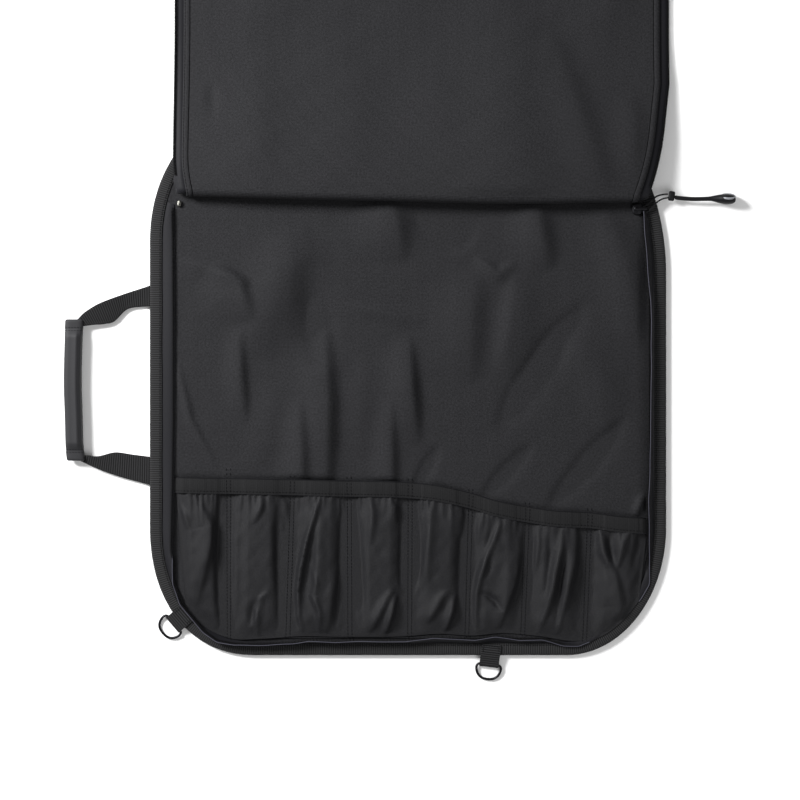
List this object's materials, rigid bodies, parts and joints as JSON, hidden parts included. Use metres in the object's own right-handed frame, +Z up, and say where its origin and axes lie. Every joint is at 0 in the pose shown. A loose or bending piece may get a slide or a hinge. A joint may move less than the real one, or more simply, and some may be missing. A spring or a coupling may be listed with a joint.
{
  "type": "chef knife roll",
  "caption": "Flat zip-round knife case lying open: ribbed edge, gathered pockets, folded-back lid, side handle and swinging rings.",
  "frame": {"origin": "on the table, under the middle of the back panel", "axes": "+X to the right along the pockets, +Y away from the cook towards the folded-back front, +Z up from the table"},
  "size_m": [0.6346, 0.8776, 0.0245],
  "materials": {
    "cloth": "plain-woven nylon, matt",
    "ribbed_tape": "cross-ribbed tape, matt",
    "zip_tape": "smooth woven zip tape",
    "zip_coil": "moulded nylon, satin",
    "webbing": "ribbed webbing, matt",
    "grip_cover": "smooth woven cover, satin",
    "dark_metal": "dark plated, satin",
    "bright_metal": "plain, bright",
    "pull_cord": "braided cord, matt",
    "pull_plastic": "moulded, satin",
    "pale_plastic": "pale grey, smooth"
  },
  "bodies": {
    "case": {"back_panel": "cloth", "back_binding": "ribbed_tape", "back_lining": "cloth", "back_zip_tape": "zip_tape", "back_zip_coil": "zip_coil", "front_panel": "cloth", "front_facing": "ribbed_tape", "front_lining": "cloth", "front_zip_tape": "zip_tape", "front_zip_coil": "zip_coil", "pocket_1": "cloth", "pocket_2": "cloth", "pocket_3": "cloth", "pocket_4": "cloth", "pocket_5": "cloth", "pocket_6": "cloth", "pocket_7": "cloth", "pocket_8": "cloth", "pocket_hem": "ribbed_tape", "handle_webbing": "webbing", "handle_grip": "grip_cover", "corner_ring_tab": "webbing", "edge_ring_tab": "webbing", "zip_slider": "dark_metal", "zip_stop": "bright_metal", "pull_cord": "pull_cord", "pull_bead": "zip_coil", "pull_grip": "pull_plastic", "pull_inlay": "pale_plastic"},
    "corner_ring": {"corner_ring": "dark_metal"},
    "edge_ring": {"edge_ring": "dark_metal"}
  },
  "joints": [
    {"name": "corner_ring_swing", "type": "hinge", "parent": "case", "child": "corner_ring", "pos_m": [-0.22194, -0.22502, 0.0026], "axis": [-0.6494, 0.7604, 0], "range_deg": [0, 140]},
    {"name": "edge_ring_swing", "type": "hinge", "parent": "case", "child": "edge_ring", "pos_m": [0.07691, -0.26374, 0.0026], "axis": [-0.9936, 0.1132, 0], "range_deg": [0, 140]}
  ]
}
